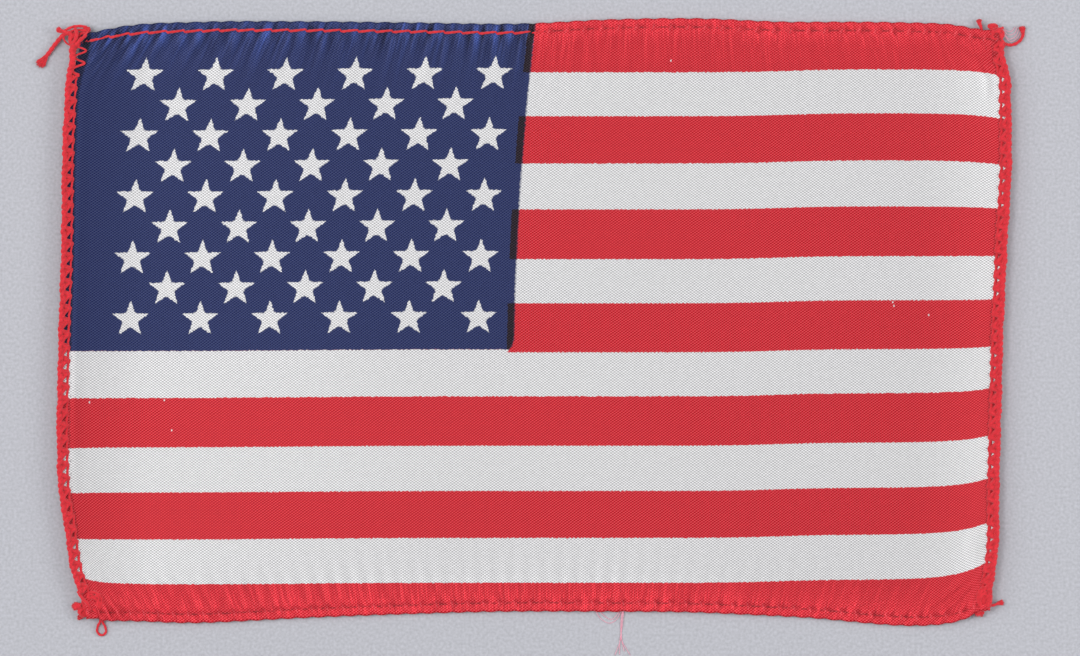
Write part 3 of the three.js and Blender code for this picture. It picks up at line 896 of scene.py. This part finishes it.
def edging_strands(side):
    """All the strands of one edging, each as a wave of its own along the edge: two in the braid, the
    upper looper with a second strand beside it, the lower looper and the needle thread. The loopers
    reach in as one narrow tooth a stitch, and where they are loose they stand as open Vs."""
    low, high = EDGING_SPANS[side]
    count = round((high - low) / STITCH_PITCH)
    t = np.linspace(0, count, count * EDGING_POINTS + 1)
    turn = 2 * np.pi * t
    uneven = sum(size * np.sin(rate * t) for rate, size in EDGING_WANDER)
    tooth = 0.5 - 0.5 * np.cos(turn)
    loose = smooth(t, *(count - before for before in LOOSE_STITCHES)) if side < 0 else 0 * t
    sewn = loose < SEWN_BELOW
    drawn_in = LOOSE_INSET * loose + uneven
    strands = []
    for start in (0, np.pi):
        braid = side * turn + start
        inward = BRAID_INSET + BRAID_SWING[0] * np.cos(braid) + drawn_in
        height = BRAID_HEIGHT + BRAID_SWING[1] * np.sin(braid)
        radius = BRAID_RADIUS * (1 + 0.10 * np.sin(0.5 * turn + start) + LOOSE_SWELL * loose)
        strands.append(edging_strand(side, inward, t, height, radius))
    radius = LOOPER_RADIUS[side] * (1 - LOOSE_SWELL * loose)
    reach = LOOPER_INSET + drawn_in + (LOOPER_REACH + LOOSE_REACH * loose) * tooth
    lean = TOOTH_LEAN[side] * (1 - loose) * np.sin(turn) - side * BAR_SLANT * (1 - loose) * tooth
    height = LOOPER_HEIGHT + (LOOSE_RISE * loose - LOOPER_FALL) * tooth
    strands.append(edging_strand(side, reach, t + lean, height, radius))
    beside = [line[sewn] for line in (reach - 0.1, t + lean + 0.17, height - 0.12)]
    strands.append(edging_strand(side, *beside, SECOND_STRAND_SHARE * LOOPER_RADIUS[side]))
    strands.append(edging_strand(side, reach + 0.06, t + lean + 0.04, -0.10 - 0.08 * tooth, radius))
    needle = (NEEDLE_INSET + 0.22 * tooth, t + lean, NEEDLE_HEIGHT + 0.12 * tooth)
    strands.append(edging_strand(side, *(line[sewn] for line in needle), NEEDLE_RADIUS[side]))
    return strands


for side, name in ((-1, "left"), (1, "right")):
    edging = new_piece(f"overlock_{name}", edging_strands(side), [red_thread])
    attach(edging, "root")
    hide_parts(f"edging_{name}")


# Corner knots. At each corner the chain of overlock thread is drawn into a knot, and its cut tails
# have fluffed out into fibres. A loop of it hangs loose below the lower left one. The places are in
# millimetres on the paper, as in the solids.
POINTS_A_LEG = 10
POINTS_A_TURN = 18
WINDING_SWING = 0.37
WINDING_TILT = 0.9
CORE_SHARE = 0.6
FIBRE_RADIUS = 0.075


def curve(points, count=None):
    """A smooth path in metres through given points in millimetres, evenly walked."""
    points = np.array(points, float)
    walked = np.concatenate([[0], np.cumsum(np.linalg.norm(np.diff(points, axis=0), axis=1))])
    at = np.linspace(0, walked[-1], count or POINTS_A_LEG * (len(points) - 1) + 1)
    lines = [through(list(zip(walked, column)), at) for column in points.T]
    return np.stack(lines, axis=-1) / 1000


def strand(radius, *points):
    """One length of thread through these points."""
    return [thread(curve(points), radius)]


def wound(centre, radii, turns, radius):
    """A lump of thread. Each turn goes round a ball on a tilted plane, which swings on from turn to
    turn, and a core closes the gaps."""
    turn = np.linspace(0, 2 * np.pi * turns, int(turns * POINTS_A_TURN))
    swing = WINDING_SWING * turn
    tilt = WINDING_TILT + 0.25 * np.sin(0.61 * turn)
    ball = np.stack([
        np.cos(turn) * np.cos(swing) - np.sin(turn) * np.cos(tilt) * np.sin(swing),
        np.cos(turn) * np.sin(swing) + np.sin(turn) * np.cos(tilt) * np.cos(swing),
        np.sin(turn) * np.sin(tilt),
    ], axis=-1)
    path = ball * np.maximum(np.array(radii) - radius, 0.08) + centre
    path[:, 2] = np.maximum(path[:, 2], radius + CLEAR_OF_PAPER)
    fall, around = np.meshgrid(np.linspace(0, np.pi, 9), np.linspace(0, 2 * np.pi, 15), indexing="ij")
    ball = [np.sin(fall) * np.cos(around), np.sin(fall) * np.sin(around), np.cos(fall)]
    core = np.stack(ball, axis=-1) * np.array(radii) * CORE_SHARE + centre
    uv = np.stack([fall / 10, around / 6.3], axis=-1)
    return [thread(path / 1000, radius), grid(core[:, ::-1] / 1000, uv, closed=True)]


def brush(tip, heading, length, root, width, count=30):
    """The fluffed fibres of a cut end. They leave its round root side by side and fan out to the
    width, each with a length, a height and a little bend of its own."""
    way = np.array([np.cos(np.radians(heading)), np.sin(np.radians(heading)), 0])
    aside = np.array([-way[1], way[0], 0])
    fibres = []
    for place in np.linspace(-1, 1, count):
        rise = np.array([0, 0, random.uniform(-1, 1) * root * 0.5])
        first = np.array(tip) - way * 0.5 + aside * root * place * 0.7 + rise
        last = np.array(tip) + way * length * random.uniform(0.7, 1.0) * (1 - 0.22 * place**2) + 0.5 * rise
        last = last + aside * width * (place + random.normal(0, 0.12))
        last[2] = max(last[2], 0.08)
        middle = (first + last) / 2 - aside * width * place * 0.1 + aside * random.normal(0, 0.04)
        fibres.append(thread(curve([first, middle, last], 7), FIBRE_RADIUS, sides=5))
    return fibres


KNOTS = {
    "top_left": [
        strand(0.39, (-73.7, 46.0, 1.5), (-74.6, 46.9, 1.4), (-75.6, 46.4, 1.0), (-76.9, 45.0, 0.55),
               (-78.1, 43.4, 0.42), (-78.6, 42.8, 0.42)),
        brush((-78.5, 42.9, 0.42), 233, 2.1, 0.36, 0.8, 70),
        strand(0.26, (-75.7, 46.4, 1.1), (-75.2, 47.2, 1.2), (-74.1, 47.8, 1.2), (-72.6, 47.95, 1.1),
               (-71.6, 47.75, 0.9)),
        strand(0.22, (-74.8, 46.4, 1.3), (-74.4, 47.0, 1.3), (-73.5, 47.3, 1.3), (-72.3, 47.3, 1.2),
               (-71.5, 47.15, 0.9)),
        brush((-71.9, 47.4, 1.0), -10, 0.95, 0.5, 0.5, 44),
        strand(0.17, (-75.4, 46.9, 1.2), (-75.5, 46.2, 1.1), (-75.1, 45.3, 1.1), (-74.3, 44.8, 1.2)),
        strand(0.30, (-74.6, 46.7, 1.3), (-75.5, 47.1, 1.4), (-76.1, 47.3, 1.3)),
        brush((-76.0, 47.25, 1.25), 150, 0.8, 0.28, 0.46, 40),
        strand(0.34, (-73.6, 47.6, 1.4), (-73.3, 46.8, 1.9), (-73.5, 45.8, 1.9), (-74.1, 45.0, 1.5)),
        strand(0.34, (-71.4, 46.9, 1.2), (-72.1, 46.2, 1.7), (-73.1, 45.3, 1.8), (-74.0, 44.0, 1.3)),
        strand(0.30, (-71.3, 46.0, 1.1), (-72.2, 45.5, 1.4), (-73.3, 44.6, 1.4), (-74.4, 43.4, 1.2)),
        strand(0.22, (-72.6, 45.7, 1.3), (-71.6, 45.5, 1.1), (-70.9, 45.5, 1.0), (-70.0, 46.1, 0.85),
               (-69.3, 46.3, 0.8)),
        wound((-73.7, 45.8, 1.1), (1.1, 1.4, 0.8), 6, 0.24),
        wound((-72.4, 46.5, 1.0), (0.9, 0.7, 0.6), 5, 0.2),
    ],
    "top_right": [
        wound((75.5, 46.6, 1.1), (1.4, 1.3, 0.85), 6, 0.24),
        wound((74.9, 47.9, 1.0), (0.95, 0.6, 0.5), 4, 0.2),
        wound((76.2, 44.9, 1.1), (0.8, 1.0, 0.7), 4, 0.24),
        strand(0.26, (76.6, 47.7, 1.1), (76.0, 47.5, 1.6), (75.2, 47.0, 1.7), (74.2, 46.8, 1.1)),
        strand(0.28, (73.2, 47.0, 0.6), (72.95, 48.0, 0.7), (72.75, 48.6, 0.7)),
        brush((72.75, 48.5, 0.7), 104, 0.75, 0.27, 0.42, 36),
        strand(0.29, (76.2, 45.4, 1.3), (77.2, 45.0, 0.8), (78.0, 44.95, 0.45), (78.9, 45.3, 0.4),
               (79.6, 46.0, 0.4), (79.85, 46.8, 0.4), (79.75, 47.3, 0.4)),
        brush((79.75, 47.2, 0.42), 98, 0.95, 0.28, 0.5, 44),
    ],
    "bottom_left": [
        wound((-70.8, -45.3, 1.0), (1.9, 2.0, 0.7), 8, 0.24),
        wound((-72.2, -46.8, 0.9), (1.1, 1.0, 0.55), 5, 0.22),
        brush((-72.9, -45.9, 1.0), 178, 1.45, 0.6, 0.65, 64),
        brush((-72.4, -47.5, 0.6), 205, 1.3, 0.4, 0.4, 16),
        strand(0.3, (-73.2, -43.4, 1.3), (-72.4, -44.6, 1.7), (-71.3, -45.9, 1.6), (-71.4, -47.1, 1.1)),
        strand(0.22, (-69.5, -47.4, 0.8), (-69.6, -48.4, 0.4), (-70.0, -49.2, 0.24), (-70.1, -50.0, 0.24),
               (-69.8, -50.5, 0.24), (-69.1, -50.6, 0.24), (-68.7, -50.1, 0.24), (-68.8, -49.3, 0.24),
               (-69.2, -48.5, 0.4), (-69.3, -47.4, 0.8)),
    ],
    "bottom_right": [
        wound((73.5, -44.7, 1.35), (1.4, 2.1, 0.6), 8, 0.23),
        wound((72.7, -47.0, 0.8), (0.9, 0.55, 0.5), 4, 0.2),
        brush((72.7, -47.2, 0.7), 265, 0.55, 0.7, 0.75, 24),
        strand(0.3, (74.6, -43.6, 1.2), (74.4, -45.0, 1.7), (73.4, -46.2, 1.4), (72.2, -46.9, 1.0)),
        strand(0.26, (74.2, -45.9, 1.3), (75.2, -45.7, 0.9), (76.1, -45.4, 0.6)),
        brush((76.0, -45.45, 0.6), 14, 0.85, 0.26, 0.46, 36),
    ],
}
for corner, groups in KNOTS.items():
    knot = new_piece(f"corner_knot_{corner}", [part for group in groups for part in group], [red_thread])
    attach(knot, "root")
    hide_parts(f"thread_knot_{corner}")


# Loose filaments. A few single fibres of the yarn, pale pink, have worked out under the lower hem
# and at the top right corner, and lie on the paper.
FILAMENT_RADIUS = 0.05
FILAMENT_COLOR = (0.90, 0.46, 0.56, 1)
# Painted shade of the filaments, as for the thread.
FILAMENT_SHADE = (0.78, 0.28, 0.38, 1)
FILAMENTS = {
    "loose_filaments_bottom": [
        [(15.0, -46.4, 0.3), (14.8, -49.5, 0.1), (14.7, -51.2, 0.1), (13.7, -54.0, 0.1)],
        [(15.2, -46.4, 0.3), (14.9, -49.5, 0.1), (14.6, -51.2, 0.12), (14.5, -53.9, 0.1)],
        [(14.9, -46.4, 0.3), (14.7, -49.5, 0.1), (14.8, -51.2, 0.1), (16.3, -54.0, 0.1)],
        [(15.1, -46.4, 0.3), (14.8, -49.5, 0.1), (14.9, -51.6, 0.1), (15.3, -53.4, 0.1)],
        [(11.0, -46.4, 0.3), (11.9, -47.4, 0.1), (13.2, -48.1, 0.1), (14.5, -46.8, 0.3)],
        [(10.5, -46.4, 0.3), (11.5, -48.0, 0.1), (13.0, -48.7, 0.1), (14.1, -48.0, 0.1), (14.7, -46.8, 0.3)],
    ],
    "loose_filaments_top_right": [
        [(76.6, 47.4, 1.2), (77.4, 46.6, 0.6), (78.4, 46.8, 0.2), (79.0, 47.9, 0.2)],
        [(76.6, 47.0, 1.2), (77.6, 45.9, 0.6), (78.6, 46.3, 0.2), (79.3, 47.6, 0.2)],
        [(76.7, 46.6, 1.2), (77.8, 45.5, 0.5), (78.8, 45.9, 0.2), (79.5, 47.0, 0.2)],
        [(76.5, 47.8, 1.2), (77.2, 47.2, 0.6), (78.0, 47.2, 0.2), (78.6, 47.9, 0.2)],
    ],
}
pale_filament = spun_thread("pale_filament", FILAMENT_COLOR, FILAMENT_SHADE)
for name, paths in FILAMENTS.items():
    strands = [thread(curve(path), FILAMENT_RADIUS, sides=6) for path in paths]
    filaments = new_piece(name, strands, [pale_filament])
    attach(filaments, "root")
